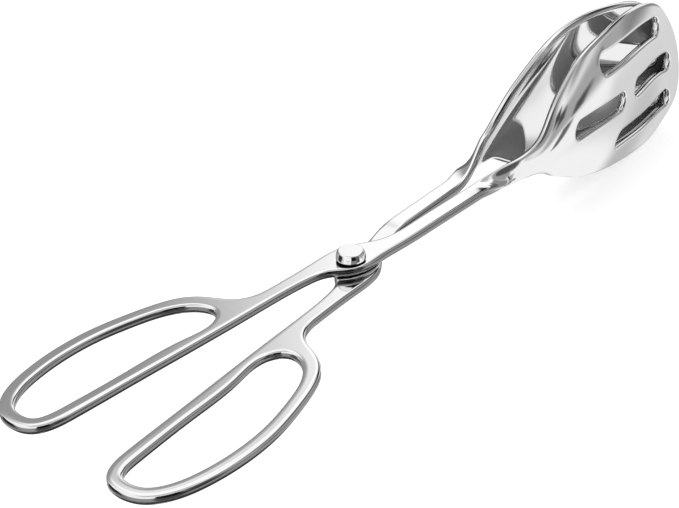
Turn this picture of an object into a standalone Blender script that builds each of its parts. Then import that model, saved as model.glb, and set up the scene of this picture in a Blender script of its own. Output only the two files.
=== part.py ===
"""Scissor serving tongs: two stamped steel arms, one slotted and one plain, that turn on one rivet.

Each arm is worked as its maker works it. A flat blank is cut, pierced for the fingers, the rivet
and the slots, and deburred all round. Its neck is then twisted on edge and its head is dished.
Metres, +Z up. +Y points from the pivot to the tips. The origin is on the flat top of the rivet.
"""

import math

import bpy
import numpy as np
from mathutils import Vector
from mathutils.geometry import delaunay_2d_cdt

MM = 0.001

# Sheet metal of both arms
sheet = 2.7 * MM
edge_radius = 0.6 * MM
plate_gap = 0.3 * MM

# Rivet
shank_radius = 2.4 * MM
shank_clearance = 0.3 * MM
seat_gap = 0.3 * MM
rivet_head_radius = 4.4 * MM
rivet_head_height = 2.9 * MM
rivet_face_radius = 3.5 * MM
rivet_skirt_height = 1.1 * MM
rivet_undercut = 0.35 * MM
rivet_tail_radius = 3.6 * MM
rivet_tail_height = 1.2 * MM
rivet_tail_round = 0.5 * MM

# Handle, from the pivot back to the end of its finger loop
handle_length = 112.5 * MM
loop_reach = 35.2 * MM
bar_width = 4.0 * MM

# Boss around the rivet, and the forearm ahead of it
boss_reach = 7.9 * MM
boss_rim = 5.1 * MM
boss_length = 17.0 * MM
forearm_width = 5.8 * MM
forearm_offset = 4.4 * MM
forearm_end = 54.0 * MM
plain_set = 2.2 * MM
set_start = 14.5 * MM
set_length = 16.0 * MM
set_haste = 1.7

# Head, from the end of the forearm to its tip
head_length = 133.0 * MM
head_height = 55.0 * MM
head_throw = 7.7 * MM
head_lift = 5.2 * MM
cup_depth = 5.4 * MM
twist_length = 22.0 * MM
slotted_twist_start = 54.0 * MM
plain_twist_start = 58.0 * MM

# Slots of the slotted head
slot_width = 7.2 * MM

# Fineness of the facets
facet_sag = 0.05 * MM
facet_length = 5.0 * MM
head_facet = 4.4 * MM
grid_step = 6.0 * MM
probe = 0.02 * MM
round_steps = 2
dense_count = 40
turn_steps = 48

# Outline of the handle: (back along handle_length, out over loop_reach), from the boss round the loop.
loop_outer_shares = (
    (0.222, 0.253), (0.267, 0.273), (0.311, 0.349), (0.356, 0.597), (0.400, 0.747), (0.444, 0.818),
    (0.533, 0.909), (0.622, 0.974), (0.729, 1.000), (0.844, 0.966), (0.907, 0.912), (0.953, 0.835),
    (0.985, 0.730), (1.000, 0.560), (0.985, 0.385), (0.942, 0.299), (0.889, 0.271),
)
loop_inner_shares = ((0.711, 0.230), (0.533, 0.187), (0.356, 0.148), (0.222, 0.122))
# The front end of the finger hole, as the outline, and how far back its bars start.
loop_front_shares = ((0.420, 0.624), (0.391, 0.500), (0.389, 0.372), (0.416, 0.296))
bar_start_share = 0.45
# The boss: (along boss_length, across boss_reach on its far side and boss_rim on its near side).
boss_far_shares = ((-0.45, 1.03), (0.05, 0.97), (0.34, 0.78), (0.60, 0.43), (0.82, 0.13))
boss_near_shares = ((-0.84, -0.60), (-0.54, -0.28), (-0.27, 0.53), (0.0, 0.98), (0.45, 1.09))
# Centre line of the forearm: (along forearm_end, across forearm_offset).
forearm_shares = ((0.37, 0.78), (0.55, 0.86), (0.75, 0.92), (0.90, 0.97))

# Stations of the head: place along head_length, half width over head_height, then the lift, throw
# and cup of the formed sheet over head_lift, head_throw and cup_depth.
head_shares = (
    (0.00, 0.0520, 0.00, 0.00, 0.00),
    (0.09, 0.0560, 0.21, 0.27, 0.03),
    (0.16, 0.0690, 0.35, 0.55, 0.12),
    (0.22, 0.1040, 0.50, 0.80, 0.30),
    (0.28, 0.2090, 0.78, 0.92, 0.60),
    (0.34, 0.3000, 0.96, 0.98, 0.85),
    (0.42, 0.3980, 1.00, 1.00, 1.00),
    (0.52, 0.4600, 0.93, 0.96, 0.95),
    (0.63, 0.5000, 0.68, 0.70, 0.86),
    (0.74, 0.5100, 0.30, 0.32, 0.65),
    (0.84, 0.4750, -0.16, -0.04, 0.40),
    (0.92, 0.3620, -0.82, -0.27, 0.28),
    (0.97, 0.2320, -1.50, -0.35, 0.20),
)
head_tip_shares = (1.00, 0.0, -2.17, -0.38, 0.15)
widest_share = 0.74
# Slots: points of each centre line, as (along head_length, across head_height).
slot_shares = (
    ((0.370, -0.003), (0.565, -0.003)),
    ((0.682, -0.022), (0.780, -0.041), (0.902, -0.076)),
    ((0.500, -0.299), (0.600, -0.309), (0.720, -0.328), (0.812, -0.337)),
    ((0.600, 0.277), (0.710, 0.280), (0.830, 0.255), (0.920, 0.188)),
)


def clear_scene():
    for thing in list(bpy.data.objects):
        bpy.data.objects.remove(thing, do_unlink=True)


def steel(name, shade, roughness):
    material = bpy.data.materials.new(name)
    material.use_nodes = True
    shader = material.node_tree.nodes["Principled BSDF"]
    shader.inputs["Base Color"].default_value = (shade, shade, shade, 1)
    shader.inputs["Metallic"].default_value = 1
    shader.inputs["Roughness"].default_value = roughness
    return material


def slopes(places, values, closed):
    """Slope at each point of the cubic spline through the values, level at an open start."""
    count = len(places)
    matrix = np.zeros((count, count))
    right = np.zeros(values.shape)
    for i in range(count):
        before, after = (i - 1) % count, (i + 1) % count
        if not closed and i == 0:
            matrix[i, i] = 1
            continue
        if not closed and i == count - 1:
            matrix[i, before], matrix[i, i] = 1, 2
            right[i] = 3 * (values[i] - values[before]) / (places[i] - places[before])
            continue
        total = places[-1] - places[0] + np.linalg.norm(values[0] - values[-1]) if closed else 0
        back = (places[i] - places[before]) if i else total - places[-1] + places[0]
        ahead = (places[after] - places[i]) if after else total - places[-1] + places[0]
        matrix[i, before] += 1 / back
        matrix[i, after] += 1 / ahead
        matrix[i, i] += 2 / back + 2 / ahead
        right[i] = 3 * ((values[i] - values[before]) / back**2 + (values[after] - values[i]) / ahead**2)
    return np.linalg.solve(matrix, right)


def hermite(start, end, slope_in, slope_out, span, share):
    a, b = share**2 * (3 - 2 * share), share * (1 - share)
    return start * (1 - a) + end * a + span * b * (slope_in * (1 - share) - slope_out * share)


def closed_curve(points):
    """Dense points along the smooth closed curve through the points given."""
    points = np.array(points, float)
    steps = np.linalg.norm(np.diff(points, axis=0), axis=1)
    places = np.concatenate([[0], np.cumsum(steps)])
    slope = slopes(places, points, True)
    share = np.arange(dense_count)[:, None] / dense_count
    parts = []
    for i in range(len(points)):
        j = (i + 1) % len(points)
        span = np.linalg.norm(points[j] - points[i])
        parts.append(hermite(points[i], points[j], slope[i], slope[j], span, share))
    return np.concatenate(parts)


def thinned(points, longest):
    """Every point that the closed curve needs to stay within facet_sag, at most `longest` apart."""
    kept = [0]
    count = len(points)
    while kept[-1] < count:
        start = kept[-1]
        end = start + 1
        while end < count:
            run = points[np.arange(start, end + 2) % count]
            chord = run[-1] - run[0]
            length = np.hypot(*chord)
            off = np.abs(chord[0] * (run[:, 1] - run[0, 1]) - chord[1] * (run[:, 0] - run[0, 0]))
            limit = longest(points[start])
            if length > limit or off.max() > facet_sag * length:
                break
            end += 1
        kept.append(end)
    return points[np.array(kept[:-1])]


def inset(points, depth):
    """The closed outline moved to its left, onto the metal, by the depth."""
    ahead = np.roll(points, -1, axis=0) - points
    ahead /= np.linalg.norm(ahead, axis=1)[:, None]
    behind = np.roll(ahead, 1, axis=0)
    left = np.stack([-(ahead + behind)[:, 1], (ahead + behind)[:, 0]], axis=1)
    left /= np.linalg.norm(left, axis=1)[:, None]
    square = left[:, 0] * -ahead[:, 1] + left[:, 1] * ahead[:, 0]
    return points + left * (depth / square)[:, None]


def station_curve(column, scale):
    rows = np.array(head_shares + (head_tip_shares,))
    places = forearm_end + rows[:, 0] * head_length
    values = rows[:, column] * scale
    return places, values, slopes(places, values, False)


def along(curve, y):
    """Value of a station curve at each y, level before its start."""
    places, values, slope = curve
    y = np.clip(y, places[0], places[-1])
    i = np.clip(np.searchsorted(places, y, side="right") - 1, 0, len(places) - 2)
    span = places[i + 1] - places[i]
    share = (y - places[i]) / span
    return hermite(values[i], values[i + 1], slope[i], slope[i + 1], span, share)


width_curve = station_curve(1, head_height)
lift_curve = station_curve(2, head_lift)
throw_curve = station_curve(3, head_throw)
cup_curve = station_curve(4, cup_depth)


def eased(value):
    value = np.clip(value, 0, 1)
    return value**2 * (3 - 2 * value)


def set_share(y):
    """How much of its set an arm has at each y: quick from the boss, then easing out slowly."""
    left = 1 - np.clip((y - set_start) / set_length, 0, 1)
    return eased(1 - left**set_haste)


def middle_surface(x, y, forearm_set, twist_start):
    """Where the middle of the sheet goes when the blank's point (x, y) is formed."""
    turn = eased((y - twist_start) / twist_length) * math.pi / 2
    across = x - forearm_offset
    spread = along(width_curve, np.minimum(y, forearm_end + widest_share * head_length))
    drop = along(cup_curve, y) * (across / spread) ** 2
    centre_x = forearm_offset + along(throw_curve, y)
    centre_z = forearm_set * set_share(y) + along(lift_curve, y)
    head_x = centre_x + across * np.cos(turn) - drop * np.sin(turn)
    head_z = centre_z - across * np.sin(turn) - drop * np.cos(turn)
    return np.stack([head_x, y, head_z], axis=-1)


def formed(points, height, bends):
    """The blank's points at a height above the middle of the sheet, on the formed arm."""
    x, y = points[:, 0], points[:, 1]
    side = middle_surface(x + probe, y, *bends) - middle_surface(x - probe, y, *bends)
    ahead = middle_surface(x, y + probe, *bends) - middle_surface(x, y - probe, *bends)
    normal = np.cross(side, ahead)
    normal /= np.linalg.norm(normal, axis=1)[:, None]
    return middle_surface(x, y, *bends) + normal * height


def outline_points():
    """Corner points of the blank's outline, anticlockwise, on the smooth curve that it follows."""
    far = [(-out * loop_reach, -back * handle_length) for back, out in loop_outer_shares]
    near = [(-out * loop_reach, -back * handle_length) for back, out in loop_inner_shares]
    boss_far = [(-out * boss_reach, share * boss_length) for share, out in boss_far_shares]
    boss_near = [(out * boss_rim, share * boss_length) for share, out in boss_near_shares]
    centres = [(out * forearm_offset, share * forearm_end) for share, out in forearm_shares]
    arm_far = [(x - forearm_width / 2, y) for x, y in centres]
    arm_near = [(x + forearm_width / 2, y) for x, y in centres]
    head = [(half_share * head_height, forearm_end + share * head_length)
            for share, half_share, *_ in head_shares]
    head_far = [(forearm_offset - wide, y) for wide, y in head]
    head_near = [(forearm_offset + wide, y) for wide, y in head]
    tip = [(forearm_offset, forearm_end + head_length)]
    return (far + near + boss_near + arm_near + head_near + tip
            + head_far[::-1] + arm_far[::-1] + boss_far[::-1])


def finger_hole():
    """The loop's own outline moved in by the bar's width, and closed by a round front end."""
    outline = closed_curve(outline_points())
    moved = inset(outline, bar_width)
    shares = loop_outer_shares + loop_inner_shares
    bars = [tuple(moved[i * dense_count]) for i, (back, _) in enumerate(shares) if back > bar_start_share]
    round_end = [(-out * loop_reach, -back * handle_length) for back, out in loop_front_shares]
    return closed_curve(bars + round_end[::-1])


def circle(radius):
    turns = np.arange(turn_steps) / turn_steps * 2 * math.pi
    return np.stack([radius * np.cos(turns), radius * np.sin(turns)], axis=1)


def slot(centre_shares):
    """A slot with round ends along a centre line on the blank's head."""
    line = np.array([(forearm_offset + out * head_height, forearm_end + share * head_length)
                     for share, out in centre_shares])
    ys = line[:, 1]
    curve = ys, line[:, 0], slopes(ys, line[:, 0], False)
    dense = np.linspace(ys[0], ys[-1], dense_count * len(line))
    centre = np.stack([along(curve, dense), dense], axis=1)
    ahead = np.gradient(centre, axis=0)
    ahead /= np.linalg.norm(ahead, axis=1)[:, None]
    right = np.stack([ahead[:, 1], -ahead[:, 0]], axis=1)
    radius = slot_width / 2
    half_turn = np.linspace(0, math.pi, dense_count)[1:-1, None]
    front = centre[-1] + radius * (right[-1] * np.cos(half_turn) + ahead[-1] * np.sin(half_turn))
    back = centre[0] - radius * (right[0] * np.cos(half_turn) + ahead[0] * np.sin(half_turn))
    return np.concatenate([centre + radius * right, front, (centre - radius * right)[::-1], back])


def signed_area(points):
    after = np.roll(points, -1, axis=0)
    return (points[:, 0] * after[:, 1] - points[:, 1] * after[:, 0]).sum() / 2


def inside(points, outline):
    """Which points the closed outline goes round."""
    found = np.zeros(len(points), bool)
    for (ax, ay), (bx, by) in zip(outline, np.roll(outline, -1, axis=0)):
        if ay == by:
            continue
        crosses = (ay > points[:, 1]) != (by > points[:, 1])
        found ^= crosses & (points[:, 0] < ax + (points[:, 1] - ay) / (by - ay) * (bx - ax))
    return found


def facet_limit(point):
    """The longest facet that the metal takes here: shorter where the blank is bent."""
    if set_start < point[1] < set_start + set_length:
        return facet_length / 2
    return head_facet if point[1] > forearm_end else facet_length * 3


def grid_points():
    """Points inside the blank, where it is bent: rows across it from the forearm to the tip."""
    rows = []
    y = forearm_end
    while y < forearm_end + head_length:
        step = grid_step / 2 if y < forearm_end + twist_length else grid_step
        half = along(width_curve, np.array([y]))[0] - edge_radius
        count = max(1, round(2 * half / step))
        for i in range(1, count):
            rows.append((forearm_offset - half + 2 * half * i / count, y))
        y += step
    return np.array(rows)


def arm_mesh(name, slots, bends, mirrored):
    """The whole arm as one closed mesh: rounded edges round every outline, then both faces."""
    outline = thinned(closed_curve(outline_points()), facet_limit)
    if signed_area(outline) < 0:
        outline = outline[::-1]
    holes = [thinned(finger_hole(), facet_limit), thinned(circle(shank_radius + shank_clearance),
                                                          facet_limit)]
    holes += [thinned(slot(shares), facet_limit) for shares in slots]
    holes = [hole[::-1] if signed_area(hole) > 0 else hole for hole in holes]
    loops = [outline] + holes
    steps = np.arange(round_steps + 1) / round_steps * math.pi / 2
    depths = edge_radius * (1 - np.cos(steps))
    heights = sheet / 2 - edge_radius * (1 - np.sin(steps))
    levels = [*zip(depths, heights)][::-1] + [*zip(depths, -heights)]

    points, faces, flat_loops, starts = [], [], [], []
    total = 0
    for loop in loops:
        count = len(loop)
        starts.append(total)
        for depth, height in levels:
            points.append(formed(inset(loop, depth), height, bends))
        for level in range(len(levels) - 1):
            high, low = total + level * count, total + (level + 1) * count
            for i in range(count):
                j = (i + 1) % count
                faces.append((low + i, low + j, high + j))
                faces.append((low + i, high + j, high + i))
        flat_loops.append(inset(loop, edge_radius))
        total += len(levels) * count

    rim = np.concatenate(flat_loops)
    grid = grid_points()
    keep = inside(grid, flat_loops[0])
    for hole in flat_loops[1:]:
        keep &= ~inside(grid, hole)
    gap = np.array([np.hypot(*(rim - point).T).min() for point in grid])
    grid = grid[keep & (gap > grid_step / 4)]
    corners = [Vector(point) for point in np.concatenate([rim, grid])]
    edges, start = [], 0
    for loop in flat_loops:
        edges += [(start + i, start + (i + 1) % len(loop)) for i in range(len(loop))]
        start += len(loop)
    found = delaunay_2d_cdt(corners, edges, [], 0, probe / 1000)
    if len(found[0]) != len(corners):
        raise ValueError("the blank's outlines cross")
    order = [origin[0] for origin in found[3]]
    places = np.array([tuple(corners[i]) for i in order])
    triangles = np.array([tuple(face) for face in found[2]])
    centres = places[triangles].mean(axis=1)
    metal = inside(centres, flat_loops[0])
    for hole in flat_loops[1:]:
        metal &= ~inside(centres, hole)
    triangles = np.array(order)[triangles[metal]]

    top_of, low_of = {}, {}
    index = 0
    for loop, start in zip(loops, starts):
        for i in range(len(loop)):
            top_of[index], low_of[index] = start + i, start + (len(levels) - 1) * len(loop) + i
            index += 1
    points.append(formed(grid, sheet / 2, bends))
    points.append(formed(grid, -sheet / 2, bends))
    for i in range(len(grid)):
        top_of[index + i], low_of[index + i] = total + i, total + len(grid) + i
    for a, b, c in triangles:
        faces.append((top_of[a], top_of[b], top_of[c]))
        faces.append((low_of[c], low_of[b], low_of[a]))
    points = np.concatenate(points)
    if mirrored:
        points[:, 0] *= -1
        faces = [face[::-1] for face in faces]
    mesh = bpy.data.meshes.new(name)
    mesh.from_pydata(points.tolist(), [], faces)
    mesh.validate()
    return mesh


def turned_mesh(name, profile):
    """A closed solid of revolution about Z from its profile (radius, height), from top to bottom."""
    points, faces = [], []
    for radius, height in profile:
        for i in range(turn_steps):
            turn = 2 * math.pi * i / turn_steps
            points.append((radius * math.cos(turn), radius * math.sin(turn), height))
    for ring in range(len(profile) - 1):
        high, low = ring * turn_steps, (ring + 1) * turn_steps
        for i in range(turn_steps):
            j = (i + 1) % turn_steps
            faces.append((low + i, low + j, high + j, high + i))
    faces.append(tuple(range(turn_steps)))
    faces.append(tuple(reversed(range((len(profile) - 1) * turn_steps, len(profile) * turn_steps))))
    mesh = bpy.data.meshes.new(name)
    mesh.from_pydata(points, [], faces)
    return mesh


def rivet_profile():
    """Flat top, rounded shoulder, skirt, undercut, shank through both arms, and the upset tail."""
    seat = plate_gap / 2 + sheet + seat_gap
    top = seat + rivet_head_height
    shoulder = top - seat - rivet_skirt_height
    profile = [(rivet_face_radius, top)]
    shoulder_steps = 5
    for i in range(1, shoulder_steps + 1):
        turn = i / shoulder_steps * math.pi / 2
        profile.append((rivet_face_radius + (rivet_head_radius - rivet_face_radius) * math.sin(turn),
                        top - shoulder * (1 - math.cos(turn))))
    profile.append((rivet_head_radius, seat + rivet_undercut))
    profile.append((rivet_head_radius - rivet_undercut, seat))
    profile.append((shank_radius, seat))
    profile.append((shank_radius, -seat))
    profile.append((rivet_tail_radius - rivet_tail_round, -seat))
    bottom = -seat - rivet_tail_height
    tail_steps = 3
    for i in range(tail_steps + 1):
        turn = i / tail_steps * math.pi / 2
        profile.append((rivet_tail_radius - rivet_tail_round * (1 - math.cos(turn)),
                        bottom + rivet_tail_round * (1 - math.sin(turn))))
    return profile


def add(name, mesh, material):
    """Puts a mesh in the scene with its origin on the pivot's axis, midway between the arms."""
    thing = bpy.data.objects.new(name, mesh)
    thing.location.z = -(plate_gap / 2 + sheet + seat_gap + rivet_head_height)
    mesh.materials.append(material)
    mesh.shade_smooth()
    mesh.set_sharp_from_angle(angle=math.radians(35))
    bpy.context.scene.collection.objects.link(thing)
    return thing


def build():
    clear_scene()
    half_stack = (plate_gap + sheet) / 2
    slotted = arm_mesh("slotted_arm", slot_shares, (0, slotted_twist_start), False)
    plain = arm_mesh("solid_arm", (), (plain_set, plain_twist_start), True)
    rivet = turned_mesh("pivot_rivet", rivet_profile())
    for mesh, rise in ((slotted, half_stack), (plain, -half_stack)):
        for vertex in mesh.vertices:
            vertex.co.z += rise
    add("slotted_arm", slotted, steel("slotted arm steel", 0.86, 0.08))
    add("solid_arm", plain, steel("solid arm steel", 0.84, 0.09))
    add("pivot_rivet", rivet, steel("rivet steel", 0.80, 0.12))


build()
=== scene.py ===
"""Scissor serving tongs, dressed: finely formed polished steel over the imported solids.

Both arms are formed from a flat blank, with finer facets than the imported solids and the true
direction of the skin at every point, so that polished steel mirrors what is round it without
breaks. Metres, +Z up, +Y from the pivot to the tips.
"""

import math

import bpy
import numpy as np
from mathutils import Matrix, Vector
from mathutils.geometry import delaunay_2d_cdt


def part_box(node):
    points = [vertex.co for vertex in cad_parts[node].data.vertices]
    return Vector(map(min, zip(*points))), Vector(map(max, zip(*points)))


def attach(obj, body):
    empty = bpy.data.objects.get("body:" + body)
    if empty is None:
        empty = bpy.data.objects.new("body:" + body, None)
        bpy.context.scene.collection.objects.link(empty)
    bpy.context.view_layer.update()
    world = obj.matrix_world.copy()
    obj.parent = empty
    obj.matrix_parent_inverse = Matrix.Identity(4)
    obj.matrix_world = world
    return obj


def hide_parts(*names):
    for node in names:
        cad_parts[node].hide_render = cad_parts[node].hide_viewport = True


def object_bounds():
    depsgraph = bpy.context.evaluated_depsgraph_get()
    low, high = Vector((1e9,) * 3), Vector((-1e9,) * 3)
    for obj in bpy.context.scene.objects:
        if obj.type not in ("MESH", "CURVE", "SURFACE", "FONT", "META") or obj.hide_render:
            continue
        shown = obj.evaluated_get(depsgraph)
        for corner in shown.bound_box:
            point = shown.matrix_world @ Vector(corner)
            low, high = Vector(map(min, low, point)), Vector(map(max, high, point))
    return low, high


MM = 0.001

# Sheet metal of both arms
sheet = 2.7 * MM
edge_radius = 0.6 * MM
plate_gap = 0.3 * MM

# Rivet
shank_radius = 2.4 * MM
shank_clearance = 0.3 * MM
seat_gap = 0.3 * MM
rivet_head_radius = 4.4 * MM
rivet_head_height = 2.9 * MM
rivet_face_radius = 3.5 * MM
rivet_skirt_height = 0.6 * MM
rivet_under_reach = 0.45 * MM
rivet_tail_radius = 3.6 * MM
rivet_tail_height = 1.2 * MM
rivet_tail_round = 0.5 * MM
rivet_seat = plate_gap / 2 + sheet + seat_gap
rivet_top = rivet_seat + rivet_head_height

# Handle, from the pivot back to the end of its finger loop
handle_length = 112.5 * MM
loop_reach = 35.2 * MM
bar_width = 4.0 * MM

# Boss around the rivet, and the forearm ahead of it
boss_reach = 7.9 * MM
boss_rim = 5.1 * MM
boss_length = 17.0 * MM
forearm_width = 5.8 * MM
forearm_offset = 4.4 * MM
forearm_end = 54.0 * MM
plain_set = 2.2 * MM
set_start = 14.5 * MM
set_length = 16.0 * MM
set_haste = 1.7

# Head, from the end of the forearm to its tip
head_length = 133.0 * MM
head_height = 55.0 * MM
head_throw = 7.7 * MM
head_lift = 5.2 * MM
cup_depth = 5.4 * MM
twist_length = 22.0 * MM
slotted_twist_start = 54.0 * MM
plain_twist_start = 58.0 * MM
slot_width = 7.2 * MM

# Polish: how far the faces and the cut edges roll over, and how wide the rolled strip of a face is,
# wider on the handle's bars than elsewhere
face_roll = math.radians(9.0)
side_roll = math.radians(24.0)
flat_room = 1.2 * MM
bar_room = 1.6 * MM
bar_room_start = 20.0 * MM
bar_room_full = 40.0 * MM
# Rings on the rolled strip: the share of its width crossed, and the share of the roll that is left
roll_shares = ((0.25, 0.7), (0.6, 0.3), (1.0, 0.0))

# Satin cut edges: how far round they reach, where along the arm they turn bright, how light and how
# rough they are, and the painted shade, nearly black, below the rivet's head, on its shank and tail
satin_turn = math.radians(15)
satin_end = 56.0 * MM
bright_start = 72.0 * MM
satin_shade = 0.26
satin_roughness = 0.15
skirt_painted_shade = 0.02

# Brushed inside of the slotted head, from its neck on
brushed_start = 68.0 * MM
brushed_full = 84.0 * MM
brushed_shade = 0.52
brushed_metal = 0.45
brushed_roughness = 0.35

# Polished steel: how light it is, how rough its glossy and its wiped patches are, what worn edges
# and polishing lines add to that, and how deep each part of the finish is
steel_shade = 0.88
wiped_dimming = 0.97
arm_gloss, arm_rough = 0.03, 0.07
rivet_gloss, rivet_rough = 0.04, 0.06
worn_least, worn_most = 0.52, 0.60
worn_roughness = 0.05
line_roughness = 0.02
arm_ripple = 0.02 * MM
rivet_ripple = 0.01 * MM
line_depth = 0.00004 * MM
grain_depth = 0.00002 * MM
# Noises: waves to the metre, detail and stretch, and the range that most of a noise keeps to
line_noise = (2600, 2, (1, 0.03, 1))
wiped_noise = (55, 4, (1, 0.5, 1))
ripple_noise = (70, 1, (1, 0.6, 1))
grain_noise = (6000, 1, (1, 1, 1))
noise_low, noise_high = 0.3, 0.7

# Fineness of the facets, the step over which the skin's slope is taken, and how near two corners
# of the blank have to be to count as one
facet_sag = 0.006 * MM
flat_facet = 2.0 * MM
bent_facet = 1.0 * MM
head_facet = 1.6 * MM
probe = 0.02 * MM
same_place = 0.02 * MM * MM
round_steps = 6
shoulder_steps = 16
under_steps = 10
tail_steps = 8
dense_count = 60
turn_steps = 128

# Outline of the handle: (back along handle_length, out over loop_reach), from the boss round the
# loop.
loop_outer_shares = (
    (0.222, 0.253), (0.267, 0.273), (0.311, 0.349), (0.356, 0.597), (0.400, 0.747), (0.444, 0.818),
    (0.533, 0.909), (0.622, 0.974), (0.729, 1.000), (0.844, 0.966), (0.907, 0.912), (0.953, 0.835),
    (0.985, 0.730), (1.000, 0.560), (0.985, 0.385), (0.942, 0.299), (0.889, 0.271),
)
loop_inner_shares = ((0.711, 0.230), (0.533, 0.187), (0.356, 0.148), (0.222, 0.122))
# The front end of the finger hole, as the outline, and how far back its bars start.
loop_front_shares = ((0.420, 0.624), (0.391, 0.500), (0.389, 0.372), (0.416, 0.296))
bar_start_share = 0.45
# The boss: (along boss_length, across boss_reach on its far side and boss_rim on its near side).
boss_far_shares = ((-0.45, 1.03), (0.05, 0.97), (0.34, 0.78), (0.60, 0.43), (0.82, 0.13))
boss_near_shares = ((-0.84, -0.60), (-0.54, -0.28), (-0.27, 0.53), (0.0, 0.98), (0.45, 1.09))
# Centre line of the forearm: (along forearm_end, across forearm_offset).
forearm_shares = ((0.37, 0.78), (0.55, 0.86), (0.75, 0.92), (0.90, 0.97))

# Stations of the head: place along head_length, half width over head_height, then the lift, throw
# and cup of the formed sheet over head_lift, head_throw and cup_depth.
head_shares = (
    (0.00, 0.0520, 0.00, 0.00, 0.00),
    (0.09, 0.0560, 0.21, 0.27, 0.03),
    (0.16, 0.0690, 0.35, 0.55, 0.12),
    (0.22, 0.1040, 0.50, 0.80, 0.30),
    (0.28, 0.2090, 0.78, 0.92, 0.60),
    (0.34, 0.3000, 0.96, 0.98, 0.85),
    (0.42, 0.3980, 1.00, 1.00, 1.00),
    (0.52, 0.4600, 0.93, 0.96, 0.95),
    (0.63, 0.5000, 0.68, 0.70, 0.86),
    (0.74, 0.5100, 0.30, 0.32, 0.65),
    (0.84, 0.4750, -0.16, -0.04, 0.40),
    (0.92, 0.3620, -0.82, -0.27, 0.28),
    (0.97, 0.2320, -1.50, -0.35, 0.20),
)
head_tip_shares = (1.00, 0.0, -2.17, -0.38, 0.15)
widest_share = 0.74
# Slots: points of each centre line, as (along head_length, across head_height).
slot_shares = (
    ((0.370, -0.003), (0.565, -0.003)),
    ((0.682, -0.022), (0.780, -0.041), (0.902, -0.076)),
    ((0.500, -0.299), (0.600, -0.309), (0.720, -0.328), (0.812, -0.337)),
    ((0.600, 0.277), (0.710, 0.280), (0.830, 0.255), (0.920, 0.188)),
)

# Cards round the tongs, the nearest first: azimuth from and to, elevation from and to and soft
# margin, all in degrees, and tone, where 1 is white
cards = {
    "spot_card_a": (40, 47, -9, -2, 2, 0.08),
    "spot_card_b": (52, 60, -2, 6, 2, 0.08),
    "spot_card_c": (36, 42, -2, 3, 2, 0.08),
    "spot_card_d": (57, 65, 3, 11, 2, 0.06),
    "set_card": (-68, -40, 38, 62, 5, 1.1),
    "rivet_card": (-34, 8, 20, 43, 5, 0.02),
    "back_card": (205, 244, -24, 16, 4, 0.03),
    "rivet_left_card": (212, 250, 11, 30, 4, 0.02),
    "rivet_right_card": (73, 98, 0, 50, 4, 0.09),
    "low_right_card": (71, 98, -28, 5, 4, 0.08),
    "slot_card": (43, 50, -22, -9, 2, 0.13),
    "front_card": (-10, 30, 24, 54, 6, 0.12),
    "front_right_card": (5, 58, 6, 62, 6, 0.28),
    "upper_right_card": (50, 104, 10, 66, 10, 0.34),
    "right_card": (60, 94, 0, 26, 8, 0.34),
    "low_left_card": (-84, -28, -40, 16, 8, 0.16),
    "left_card": (-110, -37, -16, 53, 18, 0.33),
    "camera_low_card": (98, 142, -33, -6, 4, 0.24),
    "camera_card": (94, 140, -46, 60, 5, 0.01),
    "far_left_card": (-170, -68, -50, 34, 24, 0.40),
    "under_card": (-190, 190, -89, -47, 6, 0.10),
    "zenith_card": (-190, 190, 64, 98, 10, 0.50),
    "low_front_card": (-28, 9, -46, -14, 10, 0.50),
    "tip_card": (0, 24, -14, 12, 6, 0.26),
    "horizon_card": (-30, 68, -12, 9, 6, 0.42),
    "bright_card": (-50, -10, 16, 54, 10, 1.16),
    "sky_card": (-60, 60, 48, 88, 12, 1.2),
    "haze_card": (-8, 34, -38, -6, 12, 0.74),
}
card_distance = 1.2
card_gap = 0.01
card_facet = 2.0

# Camera: where it stands round the pivot, and where the pivot falls in the picture
picture_width, picture_height = 679, 508
sensor_width = 36.0
focal_pixels = 1633.3
camera_azimuth = math.radians(40.677)
camera_elevation = math.radians(30.971)
camera_roll = math.radians(-2.178)
camera_distance = 476.0 * MM
camera_clip = (0.01, 20)
pivot_pixel = (351.2, 267.9)

# Studio: the world's light, the floor under the tongs and the lamp over them
world_light = 0.7
floor_gap = 0.1 * MM
floor_reach = 3.0
floor_shade = 0.8
floor_glow = 0.55
lamp_place = (-0.5, -0.3, 1.4)
lamp_size = 1.2
lamp_power = 6


def slopes(places, values, closed):
    """Slope at each point of the cubic spline through the values, level at an open start."""
    count = len(places)
    matrix = np.zeros((count, count))
    right = np.zeros(values.shape)
    for i in range(count):
        before, after = (i - 1) % count, (i + 1) % count
        if not closed and i == 0:
            matrix[i, i] = 1
            continue
        if not closed and i == count - 1:
            matrix[i, before], matrix[i, i] = 1, 2
            right[i] = 3 * (values[i] - values[before]) / (places[i] - places[before])
            continue
        total = places[-1] - places[0] + np.linalg.norm(values[0] - values[-1]) if closed else 0
        back = (places[i] - places[before]) if i else total - places[-1] + places[0]
        ahead = (places[after] - places[i]) if after else total - places[-1] + places[0]
        matrix[i, before] += 1 / back
        matrix[i, after] += 1 / ahead
        matrix[i, i] += 2 / back + 2 / ahead
        right[i] = 3 * ((values[i] - values[before]) / back**2
                        + (values[after] - values[i]) / ahead**2)
    return np.linalg.solve(matrix, right)


def hermite(start, end, slope_in, slope_out, span, share):
    a, b = share**2 * (3 - 2 * share), share * (1 - share)
    return start * (1 - a) + end * a + span * b * (slope_in * (1 - share) - slope_out * share)


def closed_curve(points):
    """Dense points along the smooth closed curve through the points given."""
    points = np.array(points, float)
    steps = np.linalg.norm(np.diff(points, axis=0), axis=1)
    places = np.concatenate([[0], np.cumsum(steps)])
    slope = slopes(places, points, True)
    share = np.arange(dense_count)[:, None] / dense_count
    parts = []
    for i in range(len(points)):
        j = (i + 1) % len(points)
        span = np.linalg.norm(points[j] - points[i])
        parts.append(hermite(points[i], points[j], slope[i], slope[j], span, share))
    return np.concatenate(parts)


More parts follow.
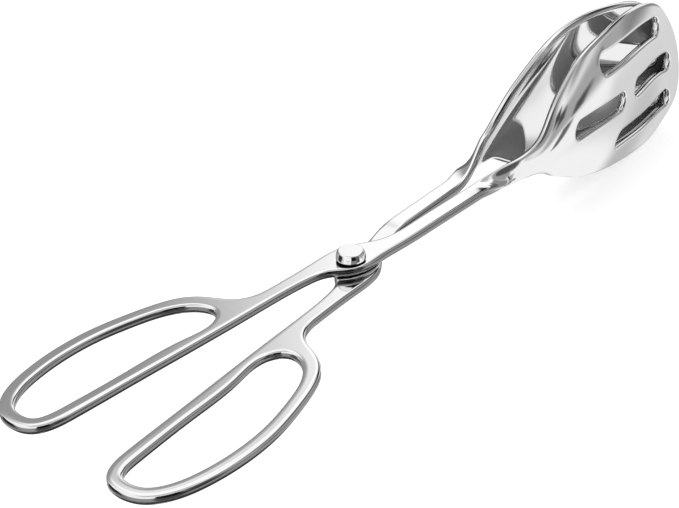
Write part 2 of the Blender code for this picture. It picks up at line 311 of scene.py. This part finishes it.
def thinned(points, longest):
    """Every point that the closed curve needs to stay within facet_sag, at most `longest` apart."""
    kept = [0]
    count = len(points)
    while kept[-1] < count:
        start = kept[-1]
        end = start + 1
        while end < count:
            run = points[np.arange(start, end + 2) % count]
            chord = run[-1] - run[0]
            length = np.hypot(*chord)
            off = np.abs(chord[0] * (run[:, 1] - run[0, 1]) - chord[1] * (run[:, 0] - run[0, 0]))
            limit = longest(points[start])
            if length > limit or off.max() > facet_sag * length:
                break
            end += 1
        kept.append(end)
    return points[np.array(kept[:-1])]


def onto_metal(points):
    """Direction onto the metal at each corner of a closed outline, and how square the corner is."""
    ahead = np.roll(points, -1, axis=0) - points
    ahead /= np.linalg.norm(ahead, axis=1)[:, None]
    behind = np.roll(ahead, 1, axis=0)
    left = np.stack([-(ahead + behind)[:, 1], (ahead + behind)[:, 0]], axis=1)
    left /= np.linalg.norm(left, axis=1)[:, None]
    return left, left[:, 0] * -ahead[:, 1] + left[:, 1] * ahead[:, 0]


def inset(points, depth):
    """The closed outline moved to its left, onto the metal, by the depth."""
    left, square = onto_metal(points)
    return points + left * (depth / square)[:, None]


def station_curve(column, scale):
    rows = np.array(head_shares + (head_tip_shares,))
    places = forearm_end + rows[:, 0] * head_length
    values = rows[:, column] * scale
    return places, values, slopes(places, values, False)


def along(curve, y):
    """Value of a station curve at each y, level before its start."""
    places, values, slope = curve
    y = np.clip(y, places[0], places[-1])
    i = np.clip(np.searchsorted(places, y, side="right") - 1, 0, len(places) - 2)
    span = places[i + 1] - places[i]
    share = (y - places[i]) / span
    return hermite(values[i], values[i + 1], slope[i], slope[i + 1], span, share)


width_curve = station_curve(1, head_height)
lift_curve = station_curve(2, head_lift)
throw_curve = station_curve(3, head_throw)
cup_curve = station_curve(4, cup_depth)


def eased(value):
    value = np.clip(value, 0, 1)
    return value**2 * (3 - 2 * value)


def set_share(y):
    """How much of its set an arm has at each y: quick from the boss, then easing out slowly."""
    left = 1 - np.clip((y - set_start) / set_length, 0, 1)
    return eased(1 - left**set_haste)


def middle_surface(x, y, forearm_set, twist_start):
    """Where the middle of the sheet goes when the blank's point (x, y) is formed."""
    turn = eased((y - twist_start) / twist_length) * math.pi / 2
    across = x - forearm_offset
    spread = along(width_curve, np.minimum(y, forearm_end + widest_share * head_length))
    drop = along(cup_curve, y) * (across / spread) ** 2
    centre_x = forearm_offset + along(throw_curve, y)
    centre_z = forearm_set * set_share(y) + along(lift_curve, y)
    head_x = centre_x + across * np.cos(turn) - drop * np.sin(turn)
    head_z = centre_z - across * np.sin(turn) - drop * np.cos(turn)
    return np.stack([head_x, y, head_z], axis=-1)


def sheet_normal(points, bends):
    x, y = points.T
    side = middle_surface(x + probe, y, *bends) - middle_surface(x - probe, y, *bends)
    ahead = middle_surface(x, y + probe, *bends) - middle_surface(x, y - probe, *bends)
    normal = np.cross(side, ahead)
    return normal / np.linalg.norm(normal, axis=1)[:, None]


def formed(points, height, bends):
    """The blank's points at a height above the middle of the sheet, on the formed arm."""
    x, y = points.T
    return middle_surface(x, y, *bends) + sheet_normal(points, bends) * height


def skin_normal(points, height, outward, rise, bends):
    """Direction of the formed skin at points whose skin faces (outward, rise) on the blank."""
    side_step, ahead_step = (probe, 0), (0, probe)
    side = formed(points + side_step, height, bends) - formed(points - side_step, height, bends)
    ahead = formed(points + ahead_step, height, bends) - formed(points - ahead_step, height, bends)
    up = sheet_normal(points, bends) * 2 * probe
    normal = (outward[:, :1] * np.cross(ahead, up) + outward[:, 1:] * np.cross(up, side)
              + rise * np.cross(side, ahead))
    return normal / np.linalg.norm(normal, axis=1)[:, None]


def outline_points():
    """Corner points of the blank's outline, anticlockwise, on the smooth curve that it follows."""
    far = [(-out * loop_reach, -back * handle_length) for back, out in loop_outer_shares]
    near = [(-out * loop_reach, -back * handle_length) for back, out in loop_inner_shares]
    boss_far = [(-out * boss_reach, share * boss_length) for share, out in boss_far_shares]
    boss_near = [(out * boss_rim, share * boss_length) for share, out in boss_near_shares]
    centres = [(out * forearm_offset, share * forearm_end) for share, out in forearm_shares]
    arm_far = [(x - forearm_width / 2, y) for x, y in centres]
    arm_near = [(x + forearm_width / 2, y) for x, y in centres]
    head = [(half_share * head_height, forearm_end + share * head_length)
            for share, half_share, *_ in head_shares]
    head_far = [(forearm_offset - wide, y) for wide, y in head]
    head_near = [(forearm_offset + wide, y) for wide, y in head]
    tip = [(forearm_offset, forearm_end + head_length)]
    return (far + near + boss_near + arm_near + head_near + tip
            + head_far[::-1] + arm_far[::-1] + boss_far[::-1])


def finger_hole():
    """The loop's own outline moved in by the bar's width, and closed by a round front end."""
    outline = closed_curve(outline_points())
    moved = inset(outline, bar_width)
    shares = loop_outer_shares + loop_inner_shares
    bars = [tuple(moved[i * dense_count]) for i, (back, _) in enumerate(shares)
            if back > bar_start_share]
    round_end = [(-out * loop_reach, -back * handle_length) for back, out in loop_front_shares]
    return closed_curve(bars + round_end[::-1])


def circle(radius):
    turns = np.arange(turn_steps) / turn_steps * 2 * math.pi
    return np.stack([radius * np.cos(turns), radius * np.sin(turns)], axis=1)


def slot(centre_shares):
    """A slot with round ends along a centre line on the blank's head."""
    line = np.array([(forearm_offset + out * head_height, forearm_end + share * head_length)
                     for share, out in centre_shares])
    ys = line[:, 1]
    curve = ys, line[:, 0], slopes(ys, line[:, 0], False)
    dense = np.linspace(ys[0], ys[-1], dense_count * len(line))
    centre = np.stack([along(curve, dense), dense], axis=1)
    ahead = np.gradient(centre, axis=0)
    ahead /= np.linalg.norm(ahead, axis=1)[:, None]
    right = np.stack([ahead[:, 1], -ahead[:, 0]], axis=1)
    radius = slot_width / 2
    half_turn = np.linspace(0, math.pi, dense_count)[1:-1, None]
    front = centre[-1] + radius * (right[-1] * np.cos(half_turn) + ahead[-1] * np.sin(half_turn))
    back = centre[0] - radius * (right[0] * np.cos(half_turn) + ahead[0] * np.sin(half_turn))
    return np.concatenate([centre + radius * right, front, (centre - radius * right)[::-1], back])


def signed_area(points):
    after = np.roll(points, -1, axis=0)
    return (points[:, 0] * after[:, 1] - points[:, 1] * after[:, 0]).sum() / 2


def inside(points, outline):
    """Which points the closed outline goes round."""
    found = np.zeros(len(points), bool)
    for (ax, ay), (bx, by) in zip(outline, np.roll(outline, -1, axis=0)):
        if ay == by:
            continue
        crosses = (ay > points[:, 1]) != (by > points[:, 1])
        found ^= crosses & (points[:, 0] < ax + (points[:, 1] - ay) / (by - ay) * (bx - ax))
    return found


def facet_limit(point):
    """The longest facet that the metal takes here: shorter where the blank is bent."""
    if set_start < point[1] < set_start + set_length:
        return bent_facet
    if point[1] < forearm_end:
        return flat_facet
    return bent_facet if point[1] < plain_twist_start + twist_length else head_facet


def grid_points():
    """Points inside the blank, where it is bent: rows across it from the forearm to the tip."""
    rows = []
    y = forearm_end
    while y < forearm_end + head_length:
        step = facet_limit((forearm_offset, y))
        half = along(width_curve, np.array([y]))[0] - edge_radius
        count = max(1, round(2 * half / step))
        for i in range(1, count):
            rows.append((forearm_offset - half + 2 * half * i / count, y))
        y += step
    return np.array(rows)


def metal_triangles(loops, grid):
    """Triangles over the loops' points, then the grid's, wherever there is metal."""
    rim = np.concatenate(loops)
    corners = [Vector(point) for point in np.concatenate([rim, grid])]
    edges, start = [], 0
    for loop in loops:
        edges += [(start + i, start + (i + 1) % len(loop)) for i in range(len(loop))]
        start += len(loop)
    found = delaunay_2d_cdt(corners, edges, [], 0, same_place)
    if len(found[0]) != len(corners):
        raise ValueError("the blank's outlines cross")
    order = np.array([origin[0] for origin in found[3]])
    places = np.array([tuple(corners[i]) for i in order])
    triangles = np.array([tuple(face) for face in found[2]])
    centres = places[triangles].mean(axis=1)
    metal = inside(centres, loops[0])
    for loop in loops[1:]:
        metal &= ~inside(centres, loop)
    return order[triangles[metal]]


def edge_rings(rolled):
    """Rings round an edge, from the upper face to the lower: how far in from the outline, the share
    of the rolled strip crossed, how high over the middle of the sheet, the rise of the skin over
    level, and how satin the cut edge is. The skin can go on rolling past the rounded corner, over
    the face."""
    roll = face_roll if rolled else 0
    rings = []
    for turn in np.arange(round_steps + 1) / round_steps * math.pi / 2:
        depth = edge_radius * (1 - math.cos(turn))
        height = sheet / 2 - edge_radius * (1 - math.sin(turn))
        rise = side_roll + turn * (1 - (side_roll + roll) / (math.pi / 2))
        rings.append((depth, 0, height, rise, max(0, 1 - turn / satin_turn)))
    if rolled:
        for across, left in roll_shares:
            rings.append((edge_radius, across, sheet / 2, math.pi / 2 - left * roll, 0))
    below = [(depth, across, -height, -rise, cut) for depth, across, height, rise, cut in rings]
    return rings[::-1] + [(0, 0, 0, 0, 1)] + below


def rolled_width(points):
    """How wide a strip of the face rolls over beside each point: wider on the handle's bars."""
    share = eased((-points[:, 1] - bar_room_start) / (bar_room_full - bar_room_start))
    return flat_room + share * (bar_room - flat_room) - edge_radius


def brushed_inside(points, wanted):
    """How brushed the skin is at points of the blank: the inside of the head only."""
    return eased((points[:, 1] - brushed_start) / (brushed_full - brushed_start)) * bool(wanted)


def arm(name, slots, bends, mirrored, rise, brushed):
    """A whole arm: rounded edges round every outline of the blank, then its two faces."""
    outline = thinned(closed_curve(outline_points()), facet_limit)
    if signed_area(outline) < 0:
        outline = outline[::-1]
    holes = [finger_hole(), circle(shank_radius + shank_clearance)]
    holes += [slot(shares) for shares in slots]
    holes = [thinned(hole, facet_limit) for hole in holes]
    loops = [outline] + [hole[::-1] if signed_area(hole) > 0 else hole for hole in holes]
    # Only round the rivet's hole is the face flat up to its edge.
    rolls = [True, True, False] + [True] * len(slots)

    points, normals, satin_and_painted_shade, dull, faces, flat_loops, tops, lows = [], [], [], [], [], [], [], []
    total = 0
    for loop, rolled in zip(loops, rolls):
        count = len(loop)
        outward = -onto_metal(loop)[0]
        width = rolled_width(loop)
        rings = edge_rings(rolled)
        for depth, across, height, tilt, cut in rings:
            ring = inset(loop, depth + across * width)
            points.append(formed(ring, height, bends))
            facing = outward * math.cos(tilt), math.sin(tilt)
            normals.append(skin_normal(ring, height, *facing, bends))
            bright = eased((ring[:, 1] - satin_end) / (bright_start - satin_end))
            satin_and_painted_shade.append((1 - bright) * cut)
            dull.append(brushed_inside(ring, brushed and across == 1 and height < 0))
        for level in range(len(rings) - 1):
            high, low = total + level * count, total + (level + 1) * count
            for i in range(count):
                j = (i + 1) % count
                faces.append((low + i, low + j, high + j, high + i))
        flat_loops.append(inset(loop, edge_radius + rolled * width))
        tops.append(total + np.arange(count))
        lows.append(total + (len(rings) - 1) * count + np.arange(count))
        total += len(rings) * count

    grid = grid_points()
    rim = np.concatenate(flat_loops)
    room = np.array([np.hypot(*(rim - point).T).min() for point in grid])
    kept = inside(grid, flat_loops[0]) & (room > bent_facet / 2)
    for hole in flat_loops[1:]:
        kept &= ~inside(grid, hole)
    grid = grid[kept]
    still = np.zeros(grid.shape)
    for side, ends in ((1, tops), (-1, lows)):
        points.append(formed(grid, side * sheet / 2, bends))
        normals.append(skin_normal(grid, side * sheet / 2, still, side, bends))
        satin_and_painted_shade.append(np.zeros(len(grid)))
        dull.append(brushed_inside(grid, brushed and side < 0))
        ends.append(total + np.arange(len(grid)))
        total += len(grid)
    tops, lows = np.concatenate(tops), np.concatenate(lows)
    triangles = metal_triangles(flat_loops, grid)
    faces += tops[triangles].tolist() + lows[triangles[:, ::-1]].tolist()

    points, normals = np.concatenate(points), np.concatenate(normals)
    points[:, 2] += rise
    if mirrored:
        points[:, 0] *= -1
        normals[:, 0] *= -1
        faces = [face[::-1] for face in faces]
    mesh = bpy.data.meshes.new(name)
    mesh.from_pydata(points.tolist(), [], faces)
    mesh.shade_smooth()
    mesh.attributes.new("satin_and_painted_shade", "FLOAT", "POINT").data.foreach_set("value", np.concatenate(satin_and_painted_shade))
    mesh.attributes.new("brushed", "FLOAT", "POINT").data.foreach_set("value", np.concatenate(dull))
    mesh.normals_split_custom_set_from_vertices(normals.tolist())
    return mesh


def rivet_profile():
    """Rings of the rivet from its top to its tail: radius, height, the tilt of the skin from
    straight up just before and just after the ring, and its share of the painted shade near the
    arms."""
    up, out, down = 0.0, math.pi / 2, math.pi
    reach = rivet_head_radius - rivet_face_radius
    shoulder = rivet_head_height - rivet_skirt_height
    rings = []
    for i in range(shoulder_steps + 1):
        turn = i / shoulder_steps * math.pi / 2
        tilt = math.atan2(shoulder * math.sin(turn), reach * math.cos(turn))
        rings.append((rivet_face_radius + reach * math.sin(turn),
                      rivet_top - shoulder * (1 - math.cos(turn)), tilt, tilt, 0))
    # From here down to the top of the tail the skin takes the painted shade, nearly black.
    for i in range(1, under_steps + 1):
        turn = i / under_steps * math.pi / 2
        tilt = out + math.atan2(rivet_under_reach * math.sin(turn),
                                rivet_skirt_height * math.cos(turn))
        rings.append((rivet_head_radius - rivet_under_reach * (1 - math.cos(turn)),
                      rivet_seat + rivet_skirt_height * (1 - math.sin(turn)), tilt, tilt, 1))
    rings.append((shank_radius, rivet_seat, down, out, 1))
    rings.append((shank_radius, -rivet_seat, out, up, 1))
    rings.append((rivet_tail_radius - rivet_tail_round, -rivet_seat, up, math.pi / 4, 1))
    rings.append((rivet_tail_radius, -rivet_seat - rivet_tail_round, math.pi / 4, out, 0))
    bottom = -rivet_seat - rivet_tail_height
    for i in range(tail_steps + 1):
        turn = i / tail_steps * math.pi / 2
        rings.append((rivet_tail_radius - rivet_tail_round * (1 - math.cos(turn)),
                      bottom + rivet_tail_round * (1 - math.sin(turn)), out + turn, out + turn, 0))
    return rings


def rivet(name):
    """The rivet as a solid of revolution, with flat ends and the skin's true direction."""
    rings = rivet_profile()
    turns = 2 * math.pi * np.arange(turn_steps) / turn_steps
    round_way = np.stack([np.cos(turns), np.sin(turns), np.zeros(turn_steps)], axis=1)
    straight_up = np.array([0, 0, 1])
    points, faces, normals, painted_shade_share = [], [], [], []
    for radius, height, _, _, painted_shade in rings:
        points += (round_way * radius + straight_up * height).tolist()
        painted_shade_share += [painted_shade] * turn_steps

    def skin(tilt, i):
        return tuple(round_way[i] * math.sin(tilt) + straight_up * math.cos(tilt))

    for k in range(len(rings) - 1):
        high, low = k * turn_steps, (k + 1) * turn_steps
        for i in range(turn_steps):
            j = (i + 1) % turn_steps
            faces.append((low + i, low + j, high + j, high + i))
            after, before = rings[k][3], rings[k + 1][2]
            normals += [skin(before, i), skin(before, j), skin(after, j), skin(after, i)]
    last = (len(rings) - 1) * turn_steps
    faces.append(tuple(range(turn_steps)))
    faces.append(tuple(last + i for i in reversed(range(turn_steps))))
    normals += [(0, 0, 1)] * turn_steps + [(0, 0, -1)] * turn_steps
    mesh = bpy.data.meshes.new(name)
    mesh.from_pydata(points, [], faces)
    mesh.shade_smooth()
    # The painted shade, nearly black, rides in the same point values as the arms' satin cut edges.
    mesh.attributes.new("satin_and_painted_shade", "FLOAT", "POINT").data.foreach_set("value", painted_shade_share)
    mesh.normals_split_custom_set(normals)
    return mesh


def link(tree, output, socket):
    tree.links.new(output, socket)


def ranged(tree, source, low, high, from_low=noise_low, from_high=noise_high):
    """The source's values from from_low to from_high, spread from low to high."""
    node = tree.nodes.new("ShaderNodeMapRange")
    ends = {"From Min": from_low, "From Max": from_high, "To Min": low, "To Max": high}
    for socket, value in ends.items():
        node.inputs[socket].default_value = value
    link(tree, source, node.inputs["Value"])
    return node.outputs["Result"]


def noise(tree, scale, detail, stretch):
    """Noise fixed to the piece, with this many waves to the metre."""
    place = tree.nodes.new("ShaderNodeTexCoord")
    mapping = tree.nodes.new("ShaderNodeMapping")
    mapping.inputs["Scale"].default_value = stretch
    texture = tree.nodes.new("ShaderNodeTexNoise")
    texture.inputs["Scale"].default_value = scale
    texture.inputs["Detail"].default_value = detail
    link(tree, place.outputs["Object"], mapping.inputs["Vector"])
    link(tree, mapping.outputs["Vector"], texture.inputs["Vector"])
    return texture.outputs["Fac"]


def bumped(tree, height, distance, under=None):
    node = tree.nodes.new("ShaderNodeBump")
    node.inputs["Strength"].default_value = 1
    node.inputs["Distance"].default_value = distance
    link(tree, height, node.inputs["Height"])
    if under:
        link(tree, under, node.inputs["Normal"])
    return node.outputs["Normal"]


def blended(tree, share, first, second):
    """A colour from first to second, by the share."""
    node = tree.nodes.new("ShaderNodeMix")
    node.data_type = "RGBA"
    link(tree, share, node.inputs[0])
    # A mix keeps its two colours at inputs 6 and 7, and the colour that comes out at output 2.
    for socket, colour in ((node.inputs[6], first), (node.inputs[7], second)):
        if isinstance(colour, tuple):
            socket.default_value = colour
        else:
            link(tree, colour, socket)
    return node.outputs[2]


def combined(tree, first, second, operation="ADD"):
    """The sum of two values, or what the operation named makes of them."""
    node = tree.nodes.new("ShaderNodeMath")
    node.operation = operation
    link(tree, first, node.inputs[0])
    link(tree, second, node.inputs[1])
    return node.outputs[0]


def point_value(tree, name):
    """The value that the points of the mesh carry under this name."""
    node = tree.nodes.new("ShaderNodeAttribute")
    node.attribute_name = name
    return node.outputs["Fac"]


def grey(value):
    return value, value, value, 1


def new_material(name):
    material = bpy.data.materials.new(name)
    material.use_nodes = True
    return material, material.node_tree


def placed(name, data):
    """A new object in the scene."""
    thing = bpy.data.objects.new(name, data)
    bpy.context.scene.collection.objects.link(thing)
    return thing


def polished_steel(name, shade, gloss, rough, ripple, satin_and_painted_shade_tone):
    """Mirror-polished stainless steel: faint ripples of the rolled sheet, hair-fine polishing lines
    along the arm, wiped patches that are a little less glossy, worn edges, and satin cut edges; on
    the rivet the same mark is a painted shade, nearly black, where it meets the arms."""
    material, tree = new_material(name)
    shader = tree.nodes["Principled BSDF"]
    lines = noise(tree, *line_noise)
    wiped = noise(tree, *wiped_noise)
    sheet_ripple = noise(tree, *ripple_noise)
    grain = noise(tree, *grain_noise)
    satin_and_painted_shade_share = point_value(tree, "satin_and_painted_shade")
    brushed_share = point_value(tree, "brushed")

    wiped_tone = blended(tree, ranged(tree, wiped, 0, 1), grey(shade * wiped_dimming), grey(shade))
    face_tone = blended(tree, brushed_share, wiped_tone, grey(brushed_shade))
    # Satin grey on the arms' cut edges; on the rivet this paints shade, nearly black, by the arms.
    link(tree, blended(tree, satin_and_painted_shade_share, face_tone, grey(satin_and_painted_shade_tone)), shader.inputs["Base Color"])
    link(tree, ranged(tree, brushed_share, 1, brushed_metal, 0, 1), shader.inputs["Metallic"])

    pointed = tree.nodes.new("ShaderNodeNewGeometry").outputs["Pointiness"]
    roughness = ranged(tree, wiped, gloss, rough)
    for added in (
        ranged(tree, pointed, 0, worn_roughness, worn_least, worn_most),
        ranged(tree, lines, 0, line_roughness),
        ranged(tree, brushed_share, 0, brushed_roughness, 0, 1),
        ranged(tree, satin_and_painted_shade_share, 0, satin_roughness, 0, 1),
    ):
        roughness = combined(tree, roughness, added)
    link(tree, roughness, shader.inputs["Roughness"])

    rippled = bumped(tree, sheet_ripple, ripple)
    lined = bumped(tree, lines, line_depth, rippled)
    link(tree, bumped(tree, grain, grain_depth, lined), shader.inputs["Normal"])
    return material


def piece(mesh, material, node, body):
    """Puts a piece in the place of its CAD node, within that node's box, riding on its body."""
    thing = placed(mesh.name, mesh)
    mesh.materials.append(material)
    mesh.transform(Matrix.Translation((0, 0, -rivet_top)))
    lowest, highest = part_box(node)
    for vertex in mesh.vertices:
        vertex.co = [min(max(at, low), high) for at, low, high in zip(vertex.co, lowest, highest)]
    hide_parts(node)
    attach(thing, body)


def make_camera():
    """The photograph's view: the pivot's middle falls on pivot_pixel."""
    lens = bpy.data.cameras.new("camera")
    lens.sensor_width = sensor_width
    lens.lens = focal_pixels * sensor_width / picture_width
    lens.clip_start, lens.clip_end = camera_clip
    back = Vector((math.sin(camera_azimuth) * math.cos(camera_elevation),
                   -math.cos(camera_azimuth) * math.cos(camera_elevation),
                   math.sin(camera_elevation)))
    level = Vector((math.cos(camera_azimuth), math.sin(camera_azimuth), 0))
    upward = back.cross(level)
    right = math.cos(camera_roll) * level + math.sin(camera_roll) * upward
    above = math.cos(camera_roll) * upward - math.sin(camera_roll) * level
    turn = Matrix((right, above, back)).transposed()
    sight = Vector(((pivot_pixel[0] - picture_width / 2) / focal_pixels,
                    (picture_height / 2 - pivot_pixel[1]) / focal_pixels, -1)).normalized()
    pivot = Vector((0, 0, -rivet_top))
    camera = placed("camera", lens)
    camera.matrix_world = Matrix.Translation(pivot - turn @ sight * camera_distance) @ turn.to_4x4()
    bpy.context.scene.camera = camera


def seen_strength(tree, otherwise, seen):
    """`seen` for rays from the camera, mirrors and glass, `otherwise` for the rest."""
    path = tree.nodes.new("ShaderNodeLightPath").outputs
    direct = combined(tree, path["Is Camera Ray"], path["Is Glossy Ray"], "MAXIMUM")
    shown = combined(tree, direct, path["Is Transmission Ray"], "MAXIMUM")
    return ranged(tree, shown, otherwise, seen, 0, 1)


def make_world(strength):
    """White behind all that is seen, mirrored or seen through, and a plain level of light."""
    world = bpy.data.worlds.new("studio")
    bpy.context.scene.world = world
    world.use_nodes = True
    tree = world.node_tree
    background = tree.nodes["Background"]
    background.inputs["Color"].default_value = grey(1)
    link(tree, seen_strength(tree, strength, 1), background.inputs["Strength"])


def make_floor(height, size, glow):
    """A plain white floor that keeps the shadow, and shows as white where none falls."""
    mesh = bpy.data.meshes.new("floor")
    corners = [(-size, -size, height), (size, -size, height), (size, size, height),
               (-size, size, height)]
    mesh.from_pydata(corners, [], [(0, 1, 2, 3)])
    material, tree = new_material("floor")
    shader = tree.nodes["Principled BSDF"]
    shader.inputs["Base Color"].default_value = grey(floor_shade)
    shader.inputs["Roughness"].default_value = 1
    shader.inputs["Specular IOR Level"].default_value = 0
    shader.inputs["Emission Color"].default_value = grey(1)
    link(tree, seen_strength(tree, 0, glow), shader.inputs["Emission Strength"])
    mesh.materials.append(material)
    floor = placed("floor", mesh)
    floor.visible_glossy = False


def make_card(name, distance, left, right, low, high, soft, tone):
    """A soft-edged card that only mirrors see: part of a ball round the tongs, in degrees of
    azimuth from +Y towards +X and of elevation, fading out over its outer `soft` degrees."""
    columns = np.linspace(left, right, round((right - left) / card_facet) + 1)
    rows = np.linspace(low, high, round((high - low) / card_facet) + 1)
    points, cover, faces = [], [], []
    for row in rows:
        for column in columns:
            turn, rise = math.radians(column), math.radians(row)
            points.append([distance * share for share in (
                math.sin(turn) * math.cos(rise), math.cos(turn) * math.cos(rise), math.sin(rise))])
            margins = np.array([column - left, right - column, row - low, high - row])
            cover.append(np.prod(eased(margins / soft)))
    width = len(columns)
    for i in range(len(rows) - 1):
        for j in range(width - 1):
            corner = i * width + j
            faces.append((corner, corner + 1, corner + width + 1, corner + width))
    mesh = bpy.data.meshes.new(name)
    mesh.from_pydata(points, [], faces)
    mesh.shade_smooth()
    mesh.attributes.new("cover", "FLOAT", "POINT").data.foreach_set("value", cover)
    material, tree = new_material(name)
    tree.nodes.clear()
    clear = tree.nodes.new("ShaderNodeBsdfTransparent")
    paint = tree.nodes.new("ShaderNodeEmission")
    paint.inputs["Color"].default_value = grey(tone)
    both = tree.nodes.new("ShaderNodeMixShader")
    output = tree.nodes.new("ShaderNodeOutputMaterial")
    link(tree, point_value(tree, "cover"), both.inputs[0])
    link(tree, clear.outputs[0], both.inputs[1])
    link(tree, paint.outputs[0], both.inputs[2])
    link(tree, both.outputs[0], output.inputs["Surface"])
    mesh.materials.append(material)
    card = placed(name, mesh)
    card.visible_camera = card.visible_diffuse = card.visible_shadow = False


def make_lamp(name, place, size, power):
    """A square soft lamp that looks at the tongs."""
    light = bpy.data.lights.new(name, "AREA")
    light.shape = "SQUARE"
    light.size = size
    light.energy = power
    lamp = placed(name, light)
    lamp.location = place
    lamp.rotation_euler = Vector(place).to_track_quat("Z", "Y").to_euler()
    lamp.visible_glossy = False


def build():
    cad_lowest, cad_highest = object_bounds()
    rise = (plate_gap + sheet) / 2
    slotted = arm("slotted_arm_fine", slot_shares, (0, slotted_twist_start), False, rise, True)
    plain = arm("solid_arm_fine", (), (plain_set, plain_twist_start), True, -rise, False)
    arm_finish = (steel_shade, arm_gloss, arm_rough, arm_ripple, satin_shade)
    # The rivet's last tone is the painted shade, nearly black, where it meets the arms.
    rivet_finish = (steel_shade, rivet_gloss, rivet_rough, rivet_ripple, skirt_painted_shade)
    pieces = (
        (slotted, "slotted arm steel", arm_finish,
         "slotted_arm", "slotted_half", "slotted_arm_steel"),
        (plain, "solid arm steel", arm_finish,
         "solid_arm", "solid_half", "solid_arm_steel"),
        (rivet("pivot_rivet_fine"), "rivet steel", rivet_finish,
         "pivot_rivet", "slotted_half", "rivet_steel"),
    )
    for mesh, steel, finish, node, body, slot_name in pieces:
        piece(mesh, polished_steel(steel, *finish), node, body)

    make_camera()
    make_world(world_light)
    make_floor(cad_lowest.z - floor_gap, floor_reach, floor_glow)
    make_lamp("key", lamp_place, lamp_size, lamp_power)
    for place, (name, values) in enumerate(cards.items()):
        make_card(name, card_distance + place * card_gap, *values)
    bpy.context.scene.view_settings.view_transform = "Standard"


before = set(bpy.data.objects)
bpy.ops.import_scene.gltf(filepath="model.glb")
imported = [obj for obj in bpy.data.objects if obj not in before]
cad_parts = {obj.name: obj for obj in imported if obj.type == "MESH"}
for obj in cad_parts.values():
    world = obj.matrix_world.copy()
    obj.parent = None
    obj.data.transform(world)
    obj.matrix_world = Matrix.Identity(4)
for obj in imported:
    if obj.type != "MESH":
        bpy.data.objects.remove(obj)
build()
